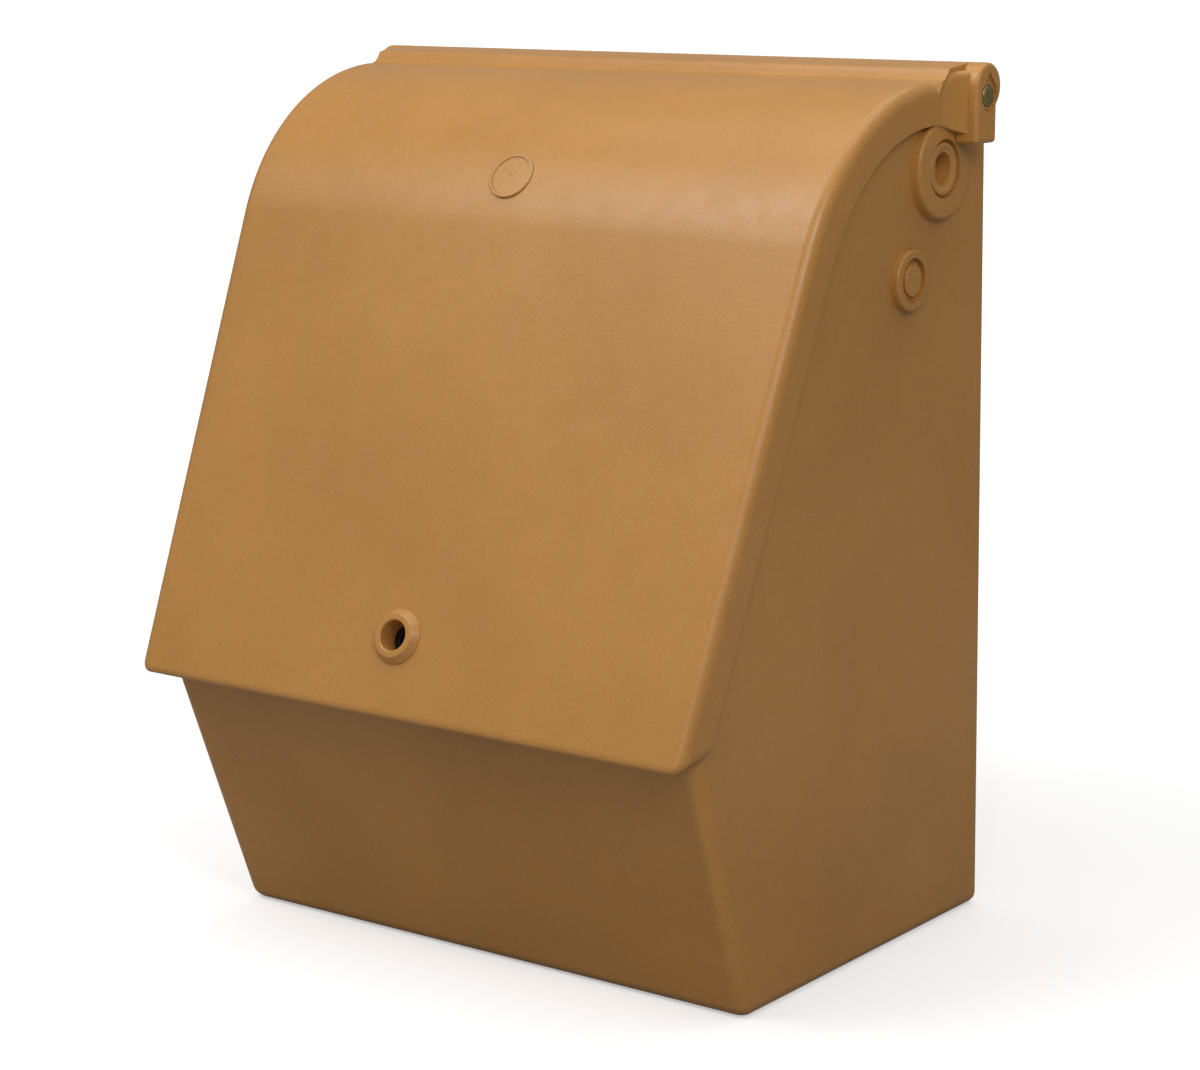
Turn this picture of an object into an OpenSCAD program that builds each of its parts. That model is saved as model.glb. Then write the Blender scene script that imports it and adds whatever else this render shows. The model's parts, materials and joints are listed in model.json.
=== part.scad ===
// Moulded plastic post box: a tapered tub with one big curved lid that swings up on a rod along
// the top of the back. Origin: centre of the base footprint, on the ground. +Z up, front towards -Y.

/* [Body] */
// Width across the base
body_w = 357.4; // [300:1:440]
// Depth of the base, front to back
body_d = 250; // [210:1:300]
// Overall height, to the top of the hinge bar
overall_h = 500; // [430:1:600]
// How far the side walls flare outwards going up, in degrees
side_draft = 1.9; // [0.5:0.1:3]
// How far the back wall leans forwards going up, in degrees
back_lean = 4.9; // [0:0.1:6]
// Wall thickness of the tub
body_wall = 5; // [3:0.5:8]
// Height at which the front wall folds back to follow the lid
knee_z = 160; // [140:1:180]
// Length of the folded-back front lip
front_lip = 78; // [70:1:100]

/* [Lid] */
// Slope of the lid's flat front, in degrees from upright
lid_slope = 22.2; // [16:0.1:28]
// Radius of the lid's curved top
crown_r = 130; // [100:1:160]
// Height of the lid's lower edge
lid_low_z = 152.8; // [140:0.1:170]
// Wall thickness of the lid
lid_wall = 4; // [3:0.5:5]
// Width of the skirt that overlaps the tub's sides
skirt_w = 23.5; // [21:0.5:30]
// Gap between the skirt and the tub's side
side_gap = 1.3; // [1:0.1:3]
// How far the tub's rim lies inside the lid's outer face
rim_inset = 16.5; // [15:0.5:20]
// Sideways offset of the lock hole and the upper plug
lock_x = -8; // [-40:1:40]
// Distance of the lock hole from the lid's lower edge, along the slope
lock_up = 47; // [38:0.5:60]
// Place of the upper plug round the crown, in degrees above level
plug_angle = 36; // [30:1:60]

/* [Hinge] */
// Diameter of the hinge rod
rod_d = 12; // [8:0.5:12.5]
// Distance from the back wall's outer face to the rod
rod_inset = 28.7; // [27:0.1:36]
// Distance from the top of the hinge bar down to the rod
rod_drop = 18; // [17:0.5:22]
// Radius of the hinge bar's round back
barrel_r = 13; // [12:0.5:15]
// How far the end cheeks stand out from the lid's sides
cheek_out = 12.1; // [10:0.1:18]
// How far the lid opens, in degrees
lid_open = 135; // [120:1:135]

/* [Side fittings] */
// Radius of the large round pad on each side
pad_r = 27; // [24:0.5:30]
// How far the pads stand out from the side walls
pad_h = 5.3; // [4:0.1:6]
// Bore of the bush in the large pad
pad_bore_d = 18; // [12:0.5:20]
// Radius of the small boss on each side
boss_r = 16.7; // [16:0.1:20]
// Head diameter of the plug in the small boss
plug_d = 17.2; // [14:0.1:19]

/* [Lock] */
// Bore of the lock ferrule
lock_bore_d = 16.8; // [12:0.1:18]
// Radius of the ferrule's base
ferrule_r = 15.5; // [14:0.1:18]

/* [Back] */
// Bolt hole in each back fixing bush
bolt_d = 8.5; // [6.5:0.5:10.5]
// Distance between the bolt holes across the back
bolt_x = 240; // [180:5:260]
// Distance between the bolt holes up the back
bolt_z = 220; // [160:5:260]

/* [Hidden] */
$fn = 96;
plastic = "#a87a48";
zinc = "#8c8448";
steel = "#b4b4b0";
rubber = "#26241f";

fit = 0.1;            // clearance round a piece that is seated in its hole
run = 0.05;           // running clearance of the rod in the knuckles
rest_gap = 0.3;       // gap between the lid and what it rests on
eps = 0.01;
far = 1000;

// hinge line
bar_rise = 9;                       // hinge bar above the lid's level top
rod_r = rod_d / 2;
rod_z = overall_h - rod_drop;
rod_y = body_d / 2 - tan(back_lean) * rod_z - rod_inset;
barrel_z = overall_h - barrel_r;
knuckle_r = rod_r + 3;
channel_r = knuckle_r + 1.2;        // inside of the hinge bar, round the knuckles
sweep_r = channel_r + 11;           // what the hinge bar clears as it turns
ridge_y = rod_y - 24;               // front edge of the hinge bar
ridge_drop = 2.7;                   // its drop below the bar's top
ridge_foot = 5;                     // depth of the bar's front face, front to back
foot_y = ridge_y - ridge_foot;
foot_bend = [3, 3];                 // where that face bends, from its foot

// lid side view: level top, crown arc, straight slope
top_z = overall_h - bar_rise;
crown_back = 34.6;                  // end of the crown's arc, ahead of the rod
crown_y = rod_y - crown_back;
crown_z = top_z - crown_r;
tangent_y = crown_y - crown_r * cos(lid_slope);
tangent_z = crown_z + crown_r * sin(lid_slope);
lid_low_y = tangent_y - tan(lid_slope) * (tangent_z - lid_low_z);
lip_return = 12;                    // how far the lid's lower edge turns in
lip_corner = 2;                     // slope of the top of that turned edge
skirt_foot = [28, 4.5];             // lower corner of the skirt, from the lid's lower edge
skirt_rise = 17;                    // start of the skirt's straight rear edge
skirt_ease = 0.5;                   // drop at the top of that edge
skirt_end_z = rod_z - 12.5;         // where the skirt's arc gives way to the cheek
neck_z = rod_z - 19;                // underside of the lid where it joins the cheek
cheek_low = 25.5;                   // how far the cheek hangs below the rod
cheek_front = barrel_r;             // cheek ahead of the rod
cheek_back = 8.5;                   // cheek behind the rod
cheek_strip = 5.3;                  // flat front of the cheek, outside its fairing
fair_lap = 1;                       // the fairing's reach into the cheek and under the bar
fair_low = 4;                       // its top at the cheek, below the bar's

// widths of the tub and the lid at a height
function body_half(z) = body_w / 2 + tan(side_draft) * z;
function lid_half(z) = body_half(z) + side_gap + lid_wall;
cheek_x = lid_half(rod_z) + cheek_out;
inner_x = lid_half(rod_z) - lid_wall;

// fittings on the tub's sides, placed from the rod
pad_y = rod_y - 23;
pad_z = rod_z - 38.6;
boss_y = rod_y - 49;
boss_z = rod_z - 97;
boss_h = 4.5;
recess_depth = 3;                   // seat of the bush and of the plug, below the pad's face
pad_face = body_half(pad_z) + pad_h;
boss_face = body_half(boss_z) + boss_h;
cheek_in = pad_face + 2 * rest_gap; // inner face of the part of the cheek that passes the pad
pad_trim = 1.5;                     // gap between the pad and the lid's edge above it
pad_collar_r = pad_bore_d / 2 + 5.3;
pad_recess_r = pad_collar_r + 1.9;
pad_sleeve_r = pad_bore_d / 2 + 2;
pad_bore_l = 8.4;                   // bore below the bush's seat
nut_ratio = 1.45;                   // nut's corner radius to its thread's
nut_room = 9;                       // sleeve inside the wall, for the nut
pad_nut_r = pad_sleeve_r * nut_ratio;
pad_nut_t = 7;
pocket_gap = 2;                     // round the nut, in the beam
face_low = 0.4;                     // how far the bush and plug heads lie below the face
plug_r = plug_d / 2;
plug_hex_r = plug_r + 2.3;
plug_hex_t = 0.9;
boss_recess_r = plug_r + 3.6;
plug_shank_r = 5;
plug_shank_l = 14;
dimple_r = 0.8;
plug_clip_r = plug_shank_r + 5;
spring_t = 1;                       // spring clips on the plugs
hole_l = 40;                        // longer than any wall is thick

// points of the side views, as [y, z]
function back_y(z) = body_d / 2 - tan(back_lean) * z;
function face_at(z, inset) = lid_low_y + tan(lid_slope) * (z - lid_low_z) + inset / cos(lid_slope);
function crown_pt(a, r) = [crown_y - r * cos(a), crown_z + r * sin(a)];
function crown_arc(r, a0, a1, n) = [for (i = [0:n]) crown_pt(a0 + (a1 - a0) * i / n, r)];
function around_rod(r, a) = [rod_y + r * cos(a), rod_z + r * sin(a)];
knee_y = face_at(knee_z, rim_inset);
lip_top = [knee_y + front_lip * sin(lid_slope), knee_z + front_lip * cos(lid_slope)];
front_lean = atan((-knee_y - body_d / 2) / knee_z);
knee_in = [knee_y, knee_z] + body_wall / (1 + cos(front_lean + lid_slope))
    * [cos(front_lean) + cos(lid_slope), sin(front_lean) - sin(lid_slope)];
deck_y = rod_y - 29;                // front of the beam that carries the knuckles
deck_z = rod_z - 26.5;              // its underside
rim_z = crown_z + crown_r - rim_inset;

// the bar's sloping top swings round to the back wall's rim at lid_open
stop_gap = 2 * rest_gap;
bar_tilt = atan(ridge_drop / (rod_y - ridge_y));
stop_turn = 90 + bar_tilt - lid_open;
back_rim_z = rod_z + (rod_drop * cos(bar_tilt) + stop_gap - cos(stop_turn) * (rod_inset - body_wall))
    / (sin(stop_turn) - tan(back_lean) * cos(stop_turn));

// knuckles, and what holds the rod in them
knuckle_end = inner_x - 7;
knuckle_len = 32;
knuckle_mid = 60;                   // centre of the inner knuckles
knuckle_xs = [for (s = [-1, 1]) each [s * knuckle_mid, s * (knuckle_end - knuckle_len / 2)]];
neck_top = 3;                       // the neck's reach into the beam, at its top
neck_deep = 12;                     // and below the beam's top
neck_heel = [10, 9];                // its rear corner, from the beam's front and top
neck_angles = [170, 233];           // where the neck meets the knuckle's round
bush_r = rod_r + 1.6;
bush_set = 0.6;                     // the bush starts inside the cheek and stands out by this
washer_t = 1.5;
clip_t = 1.2;
groove_deep = 0.8;
clip_slack = 0.05;                  // clip to groove, each side
clip_x = knuckle_end + washer_t + 2 * rest_gap;

// lock, keeper and upper plug
sleeve_r = lock_bore_d / 2 + 2.4;
sleeve_l = lid_wall + 5;
ferrule_rise = 4.5;
ferrule_rim_r = lock_bore_d / 2 + 3.9;
ferrule_nut_t = 4.5;
keeper_x = 24;                      // rivets of the keeper, each side of the lock
keeper_size = [2 * keeper_x + 16, 30, 2];
keeper_hole_r = lock_bore_d / 2 + 0.6;
keeper_room = 3;                    // the tub's hole round the keeper's
rivet_r = 2.4;
rivet_head_r = 2 * rivet_r;
rivet_tail_r = 1.8 * rivet_r;
rivet_head_t = 1.5;
rivet_tail_t = 2;
crown_ring_r = 14;
crown_ring_h = 0.9;
crown_head_r = 12;
crown_head_t = 1.5;
crown_seat = 0.9;                   // depth of the head's seat
crown_dimple = [1.2, 0.4];          // radius and depth
crown_shank_r = 7;
crown_shank_l = lid_wall + 5;
crown_clip_r = crown_shank_r + 4;
crown_in_r = crown_r - lid_wall;
crown_sag = crown_in_r - sqrt(crown_in_r * crown_in_r - crown_clip_r * crown_clip_r);

// rubber buffers under the lid, and the back's fixing bushes
buffer_x = body_w / 2 - 48;
buffer_up = lock_up + 6;
buffer_base_r = 9;
buffer_top_r = 7.5;
buffer_stem_r = 3;
buffer_tail = [4.2, 3];             // radius and length
fix_low = 150;                      // height of the lower fixing bolts
fix_r = bolt_d / 2 + 2.25;
fix_boss = 13;
fix_seat = 4;
fix_sink = 2;                       // the boss starts this far inside the leaning wall
fix_flange_r = fix_boss - 2;
fix_flange_t = 1.5;
drain_r = 3.5;
drain_x = body_w / 2 - 59.7;
drain_y = body_d / 2 - 41.7;

// one side view drawn in Y and Z, made as thick as w on each side of x = 0
module side_view(w) {
    rotate([90, 0, 90]) translate([0, 0, -w]) linear_extrude(2 * w) children();
}

// everything between the two flared side planes, at half the base width given
module between_sides(base_half) {
    top = 2 * overall_h;
    grow = tan(side_draft) * top;
    translate([0, far / 2, 0]) rotate([90, 0, 0]) linear_extrude(far)
        polygon([
            [-base_half, 0], [base_half, 0], [base_half + grow, top], [-base_half - grow, top]
        ]);
}

module along_x(x, y, z, r, l, sides = $fn) {
    translate([x, y, z]) rotate([0, 90, 0]) cylinder(r = r, h = l, $fn = sides);
}

// a ring along X, with a round hole
module ring_x(x, y, z, r, hole, l, sides = $fn) {
    difference() {
        along_x(x, y, z, r, l, sides);
        along_x(x - 1, y, z, hole, l + 2);
    }
}

// a hole both ways from the local origin, along Z
module hole(r) {
    translate([0, 0, -hole_l / 2]) cylinder(r = r, h = hole_l);
}

module other_side(left) {
    mirror([left ? 1 : 0, 0, 0]) children();
}

// local frame on the lid: origin on the outer face, +Z outwards
module on_slope(up, x) {
    translate([x, lid_low_y + up * sin(lid_slope), lid_low_z + up * cos(lid_slope)])
        rotate([90 - lid_slope, 0, 0]) children();
}

module on_crown(a, x) {
    translate([x, crown_pt(a, crown_r)[0], crown_pt(a, crown_r)[1]])
        rotate([90 - a, 0, 0]) children();
}

// ---- tub ----

module body_outline() {
    polygon(concat(
        [[-body_d / 2, 0], [knee_y, knee_z]],
        crown_arc(crown_r - rim_inset, lid_slope, 90, 16),
        [[deck_y, rim_z], [back_y(rim_z), rim_z], [body_d / 2, 0]]
    ));
}

module back_rim() {
    polygon([
        [back_y(rim_z - 20) - body_wall, rim_z - 20], [back_y(back_rim_z) - body_wall, back_rim_z],
        [back_y(back_rim_z), back_rim_z], [back_y(rim_z - 20), rim_z - 20]
    ]);
}

// the hollow of the tub, open in front above the lip and on top ahead of the hinge beam
module body_hollow() {
    front_in = body_wall / cos(front_lean);
    back_in = body_wall / cos(back_lean);
    polygon([
        [-body_d / 2 - tan(front_lean) * body_wall + front_in, body_wall],
        knee_in,
        [lip_top[0] + body_wall * cos(lid_slope), lip_top[1] - body_wall * sin(lid_slope)],
        [lip_top[0] - 40 * cos(lid_slope), lip_top[1] + 40 * sin(lid_slope)],
        [lip_top[0] - 40, overall_h + 40], [deck_y, overall_h + 40], [deck_y, deck_z],
        [back_y(deck_z) - back_in, deck_z], [back_y(body_wall) - back_in, body_wall]
    ]);
}

// side view of the neck that joins a knuckle to the beam, ahead of and below the rod
module knuckle_neck() {
    polygon([
        around_rod(knuckle_r, neck_angles[0]), [deck_y + neck_top, rim_z],
        [deck_y + neck_top, rim_z - neck_deep], [deck_y + neck_heel[0], rim_z - neck_heel[1]],
        around_rod(knuckle_r, neck_angles[1]), [rod_y, rod_z]
    ]);
}

module knuckle(x) {
    translate([x, 0, 0]) side_view(knuckle_len / 2) knuckle_neck();
    along_x(x - knuckle_len / 2, rod_y, rod_z, knuckle_r, knuckle_len);
}

module side_pad(left) {
    other_side(left) {
        difference() {
            along_x(body_half(pad_z) - body_wall / 2, pad_y, pad_z, pad_r, body_wall / 2 + pad_h);
            translate([0, 0, -pad_trim]) side_view(far / 2) lid_outline();
        }
        along_x(body_half(boss_z) - body_wall / 2, boss_y, boss_z, boss_r, body_wall / 2 + boss_h);
    }
}

module side_holes(left) {
    wall_in = body_half(pad_z) - body_wall;
    other_side(left) {
        along_x(pad_face - recess_depth, pad_y, pad_z, pad_recess_r, far);
        along_x(pad_face - hole_l, pad_y, pad_z, pad_sleeve_r + fit, far);
        // pocket in the end of the hinge beam, for the nut
        intersection() {
            along_x(wall_in - nut_room - pocket_gap, pad_y, pad_z, pad_nut_r + pocket_gap, far);
            between_sides(body_w / 2 - body_wall);
        }
        along_x(boss_face - recess_depth, boss_y, boss_z, boss_recess_r, far);
        along_x(boss_face - hole_l, boss_y, boss_z, plug_shank_r + fit, far);
    }
}

module fixing_places() {
    for (x = [-1, 1], z = [0, 1])
        translate([x * bolt_x / 2, back_y(fix_low + z * bolt_z), fix_low + z * bolt_z]) children();
}

module body_shell() {
    color(plastic) difference() {
        union() {
            difference() {
                intersection() {
                    side_view(far / 2) union() {
                        body_outline();
                        back_rim();
                    }
                    between_sides(body_w / 2);
                }
                intersection() {
                    side_view(far / 2) body_hollow();
                    between_sides(body_w / 2 - body_wall);
                }
                along_x(-far / 2, rod_y, rod_z, sweep_r, far);
            }
            for (x = knuckle_xs) knuckle(x);
            side_pad(false);
            side_pad(true);
            fixing_places() rotate([90, 0, 0]) translate([0, 0, fix_sink])
                cylinder(r = fix_boss, h = body_wall + fix_seat - fix_sink);
        }
        along_x(-far / 2, rod_y, rod_z, rod_r + run, far);
        side_holes(false);
        side_holes(true);
        fixing_places() rotate([90, 0, 0]) hole(fix_r + fit);
        on_slope(lock_up, lock_x) translate([0, 0, -rim_inset]) {
            hole(keeper_hole_r + keeper_room);
            for (s = [-1, 1]) translate([s * keeper_x, 0, 0]) hole(rivet_r + fit);
        }
        for (s = [-1, 1]) on_slope(buffer_up, s * buffer_x)
            translate([0, 0, -rim_inset]) hole(buffer_stem_r + fit);
        for (x = [-1, 1], y = [-1, 1]) translate([x * drain_x, y * drain_y, 0]) hole(drain_r);
    }
}

// ---- lid ----

// outer side view of the lid with its skirt
module lid_outline() {
    drop_pt = crown_pt(90, crown_r - skirt_w);
    polygon(concat(
        [[lid_low_y, lid_low_z]],
        crown_arc(crown_r, lid_slope, 90, 24),
        [[foot_y, top_z], [foot_y, top_z] + foot_bend, [ridge_y, overall_h - ridge_drop]],
        [[rod_y, overall_h], [rod_y, rod_z], [rod_y - cheek_front, neck_z]],
        [[drop_pt[0], drop_pt[1] - skirt_ease]],
        crown_arc(crown_r - skirt_w, 90, lid_slope, 20),
        [[face_at(lid_low_z + skirt_rise, skirt_w), lid_low_z + skirt_rise]],
        [[lid_low_y, lid_low_z] + skirt_foot]
    ));
    // round back of the hinge bar
    translate([rod_y, barrel_z]) intersection() {
        circle(r = barrel_r);
        square(barrel_r);
    }
}

// the hollow under the lid, down past the skirt's edge
module lid_hollow() {
    lip_y = lid_low_y + lip_return;
    lip_z = lid_low_z + lid_wall + lip_corner;
    below = lid_low_z - far;
    polygon(concat(
        [[face_at(lid_low_z + lid_wall, lid_wall), lip_z]],
        crown_arc(crown_in_r, lid_slope, 90, 24),
        [[rod_y + channel_r, top_z - lid_wall], [rod_y + channel_r, below]],
        [[lip_y, below], [lip_y, lip_z]]
    ));
    translate([rod_y, rod_z]) circle(r = channel_r);
}

module cheek_outline() {
    translate([rod_y, barrel_z]) circle(r = barrel_r);
    translate([rod_y - cheek_front, rod_z - cheek_low])
        square([cheek_front + cheek_back, barrel_z - rod_z + cheek_low]);
}

// side view of the fairing between the skirt and the cheek
module fairing_outline() {
    polygon([
        [crown_y, skirt_end_z], [rod_y - cheek_front + fair_lap, neck_z],
        [rod_y - cheek_front + fair_lap, overall_h - fair_low],
        [ridge_y, overall_h - ridge_drop - fair_lap], [foot_y, top_z], [crown_y, top_z]
    ]);
}

// plan of the fairing: a hollow curve from the lid's side out to the cheek
module fairing_plan() {
    start = crown_y + 2;
    reach = rod_y - cheek_front - start;
    side = lid_half(top_z) + 0.1;
    out = cheek_x - cheek_strip - side;
    end = start + reach + fair_lap;
    polygon(concat(
        [for (i = [0:8]) [side + out * pow(i / 8, 2), start + reach * i / 8]],
        [[side + out, end], [cheek_in, end], [cheek_in, start]]
    ));
}

module cheek(left) {
    wide = 2 * barrel_r + skirt_w;
    other_side(left) {
        // upper part, from inside the lid's side wall
        intersection() {
            side_view(cheek_x) cheek_outline();
            translate([inner_x, rod_y - wide, skirt_end_z]) cube([cheek_x, 2 * wide, wide]);
        }
        // whole height outside the pad
        intersection() {
            side_view(cheek_x) cheek_outline();
            translate([cheek_in, rod_y - wide, rod_z - wide]) cube([cheek_x, 2 * wide, 2 * wide]);
        }
        intersection() {
            side_view(cheek_x) fairing_outline();
            translate([0, 0, rod_z - wide]) linear_extrude(2 * wide) fairing_plan();
        }
    }
}

module lid_shell() {
    color(plastic) difference() {
        union() {
            difference() {
                intersection() {
                    side_view(far / 2) lid_outline();
                    between_sides(lid_half(0));
                }
                intersection() {
                    side_view(far / 2) lid_hollow();
                    between_sides(lid_half(0) - lid_wall);
                }
            }
            cheek(false);
            cheek(true);
            on_crown(plug_angle, lock_x) translate([0, 0, -lid_wall])
                cylinder(r = crown_ring_r, h = lid_wall + crown_ring_h);
        }
        for (left = [false, true]) other_side(left) along_x(inner_x - 1, rod_y, rod_z, bush_r + fit, hole_l);
        on_slope(lock_up, lock_x) hole(sleeve_r + fit);
        on_crown(plug_angle, lock_x) {
            translate([0, 0, -crown_seat]) cylinder(r = crown_head_r + fit, h = hole_l);
            hole(crown_shank_r + fit);
        }
    }
}

// ---- hinge rod and its fittings ----

module hinge_rod() {
    half = cheek_x - rest_gap;
    color(zinc) difference() {
        along_x(-half, rod_y, rod_z, rod_r, 2 * half);
        for (left = [false, true]) other_side(left)
            ring_x(clip_x, rod_y, rod_z, rod_r + 1, rod_r - groove_deep, clip_t + 2 * clip_slack);
    }
}

module cheek_bush(left) {
    other_side(left) color(plastic)
        ring_x(inner_x + bush_set, rod_y, rod_z, bush_r, rod_r, cheek_x - inner_x);
}

module rod_washer(left) {
    other_side(left) color(rubber)
        ring_x(knuckle_end + rest_gap, rod_y, rod_z, knuckle_r, rod_r + run, washer_t);
}

module rod_clip(left) {
    other_side(left) color(steel) difference() {
        ring_x(clip_x + clip_slack, rod_y, rod_z, knuckle_r, rod_r - groove_deep + run, clip_t);
        translate([0, rod_y - rod_r / 2, rod_z - 2 * knuckle_r]) cube([far, rod_r, 2 * knuckle_r]);
    }
}

// ---- side fittings ----

module pad_bush(left) {
    inside = body_half(pad_z) - body_wall - nut_room;
    seat = pad_face - recess_depth;
    other_side(left) color(plastic) difference() {
        union() {
            along_x(inside, pad_y, pad_z, pad_sleeve_r, seat - inside);
            along_x(seat, pad_y, pad_z, pad_collar_r, recess_depth - face_low);
        }
        along_x(seat - pad_bore_l, pad_y, pad_z, pad_bore_d / 2, hole_l);
    }
}

module pad_nut(left) {
    wall_in = body_half(pad_z - pad_nut_r) - body_wall;
    other_side(left) color(steel) difference() {
        along_x(wall_in - pad_nut_t, pad_y, pad_z, pad_nut_r, pad_nut_t, 6);
        along_x(wall_in - pad_nut_t - 1, pad_y, pad_z, pad_sleeve_r + run, pad_nut_t + 2);
    }
}

module side_plug(left) {
    seat = boss_face - recess_depth;
    other_side(left) color(plastic) difference() {
        union() {
            along_x(seat - plug_shank_l, boss_y, boss_z, plug_shank_r, plug_shank_l);
            along_x(seat, boss_y, boss_z, plug_hex_r, plug_hex_t, 6);
            along_x(seat, boss_y, boss_z, plug_r, recess_depth - face_low);
        }
        along_x(boss_face - 1, boss_y, boss_z, dimple_r, hole_l);
    }
}

module plug_clip(left) {
    wall_in = body_half(boss_z - plug_clip_r - 1) - body_wall;
    other_side(left) color(steel)
        ring_x(wall_in - spring_t, boss_y, boss_z, plug_clip_r, plug_shank_r + run, spring_t);
}

// ---- lock ferrule, crown plug and keeper ----

module lock_ferrule() {
    color(plastic) on_slope(lock_up, lock_x) difference() {
        union() {
            translate([0, 0, -sleeve_l]) cylinder(r = sleeve_r, h = sleeve_l + eps);
            cylinder(r1 = ferrule_r, r2 = ferrule_rim_r, h = ferrule_rise);
        }
        hole(lock_bore_d / 2);
    }
}

module ferrule_nut() {
    color(steel) on_slope(lock_up, lock_x) difference() {
        translate([0, 0, -lid_wall - ferrule_nut_t])
            cylinder(r = sleeve_r * nut_ratio, h = ferrule_nut_t, $fn = 6);
        hole(sleeve_r + run);
    }
}

module crown_plug() {
    color(plastic) on_crown(plug_angle, lock_x) difference() {
        union() {
            translate([0, 0, -crown_shank_l]) cylinder(r = crown_shank_r, h = crown_shank_l);
            translate([0, 0, -crown_seat]) cylinder(r = crown_head_r, h = crown_head_t);
        }
        translate([0, 0, crown_head_t - crown_seat - crown_dimple[1]])
            cylinder(r = crown_dimple[0], h = 1);
    }
}

// lies clear of the lid's curved inside
module crown_plug_clip() {
    color(steel) on_crown(plug_angle, lock_x) difference() {
        translate([0, 0, -lid_wall - crown_sag - 2 * fit - spring_t])
            cylinder(r = crown_clip_r, h = spring_t);
        hole(crown_shank_r + run);
    }
}

module lock_keeper() {
    color(steel) on_slope(lock_up, lock_x) translate([0, 0, -rim_inset]) difference() {
        translate([-keeper_size[0] / 2, -keeper_size[1] / 2, 0]) cube(keeper_size);
        hole(keeper_hole_r);
        for (s = [-1, 1]) translate([s * keeper_x, 0, 0]) hole(rivet_r + fit);
    }
}

module keeper_rivets() {
    tail = -body_wall - rivet_tail_t;
    color(steel) for (s = [-1, 1]) on_slope(lock_up, lock_x + s * keeper_x)
        translate([0, 0, -rim_inset]) {
            translate([0, 0, tail]) cylinder(r = rivet_r, h = keeper_size[2] + rivet_head_t / 2 - tail);
            translate([0, 0, keeper_size[2]]) cylinder(r = rivet_head_r, h = rivet_head_t);
            translate([0, 0, tail]) cylinder(r = rivet_tail_r, h = rivet_tail_t);
        }
}

module lid_buffer(left) {
    tall = rim_inset - lid_wall - rest_gap;
    tail = -body_wall - buffer_tail[1];
    color(rubber) on_slope(buffer_up, (left ? -1 : 1) * buffer_x) translate([0, 0, -rim_inset]) {
        translate([0, 0, tail]) cylinder(r = buffer_stem_r, h = 1 - tail);
        cylinder(r1 = buffer_base_r, r2 = buffer_top_r, h = tall);
        translate([0, 0, tail]) cylinder(r = buffer_tail[0], h = buffer_tail[1]);
    }
}

module fixing_bushes() {
    head = body_wall + fix_seat;
    color(steel) fixing_places() rotate([90, 0, 0]) difference() {
        union() {
            translate([0, 0, fix_sink / 2]) cylinder(r = fix_r, h = head - fix_sink / 2 + eps);
            translate([0, 0, head]) cylinder(r = fix_flange_r, h = fix_flange_t);
        }
        hole(bolt_d / 2);
    }
}

body_shell();
lid_shell();
hinge_rod();
cheek_bush(true);  // cheek_bush_left
cheek_bush(false);  // cheek_bush_right
rod_washer(true);  // rod_washer_left
rod_washer(false);  // rod_washer_right
rod_clip(true);  // rod_clip_left
rod_clip(false);  // rod_clip_right
pad_bush(true);  // pad_bush_left
pad_bush(false);  // pad_bush_right
pad_nut(true);  // pad_nut_left
pad_nut(false);  // pad_nut_right
side_plug(true);  // side_plug_left
side_plug(false);  // side_plug_right
plug_clip(true);  // plug_clip_left
plug_clip(false);  // plug_clip_right
lock_ferrule();
ferrule_nut();
crown_plug();
crown_plug_clip();
lock_keeper();
keeper_rivets();
lid_buffer(true);  // lid_buffer_left
lid_buffer(false);  // lid_buffer_right
fixing_bushes();
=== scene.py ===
import json
import math

import bmesh
import bpy
from mathutils import Matrix, Vector


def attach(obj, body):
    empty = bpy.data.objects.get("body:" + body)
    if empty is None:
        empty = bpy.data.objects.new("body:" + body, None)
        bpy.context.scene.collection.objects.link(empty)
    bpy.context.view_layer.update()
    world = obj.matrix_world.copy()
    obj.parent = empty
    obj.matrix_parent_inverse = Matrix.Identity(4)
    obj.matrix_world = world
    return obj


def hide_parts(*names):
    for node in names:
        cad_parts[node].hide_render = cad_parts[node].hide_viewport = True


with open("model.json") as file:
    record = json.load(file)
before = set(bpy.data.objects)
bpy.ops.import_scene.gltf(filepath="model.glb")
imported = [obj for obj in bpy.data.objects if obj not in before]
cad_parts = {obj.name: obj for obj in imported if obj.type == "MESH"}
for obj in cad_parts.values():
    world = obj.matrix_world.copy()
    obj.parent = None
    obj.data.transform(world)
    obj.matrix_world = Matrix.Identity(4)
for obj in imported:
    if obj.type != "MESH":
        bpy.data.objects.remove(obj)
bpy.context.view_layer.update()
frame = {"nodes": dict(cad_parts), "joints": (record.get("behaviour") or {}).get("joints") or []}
print("frame loaded")

# sizes shared by the tub and the lid, in millimetres
form = {
    "baseWidth": 357.4,
    "depth": 250.0,
    "height": 500.0,
    "sideDraft": 1.9,      # degrees
    "backLean": 4.9,       # degrees
    "lidSlope": 22.2,      # degrees from upright
    "crownRadius": 130.0,
    "lidLowEdge": 152.8,
    "lidTopBelowBar": 9.0,
    "sideGap": 1.3,
    "lidWall": 4.0,
    "tubWall": 5.0,
}
hingeAt = [j for j in frame["joints"] if j["name"] == "lid_hinge"][0]["pos_m"]
rodY, rodZ = hingeAt[1] * 1000, hingeAt[2] * 1000
slope = math.radians(form["lidSlope"])
draft = math.tan(math.radians(form["sideDraft"]))
topZ = form["height"] - form["lidTopBelowBar"]
crownY = rodY - 34.6
crownZ = topZ - form["crownRadius"]
tangentY = crownY - form["crownRadius"] * math.cos(slope)
tangentZ = crownZ + form["crownRadius"] * math.sin(slope)
lidLowY = tangentY - math.tan(slope) * (tangentZ - form["lidLowEdge"])
barrelZ = form["height"] - 13.0
beyond = 300  # past both sides


def tubHalf(z):
    return form["baseWidth"] / 2 + draft * z


def lidHalf(z):
    return tubHalf(z) + form["sideGap"] + form["lidWall"]


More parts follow.
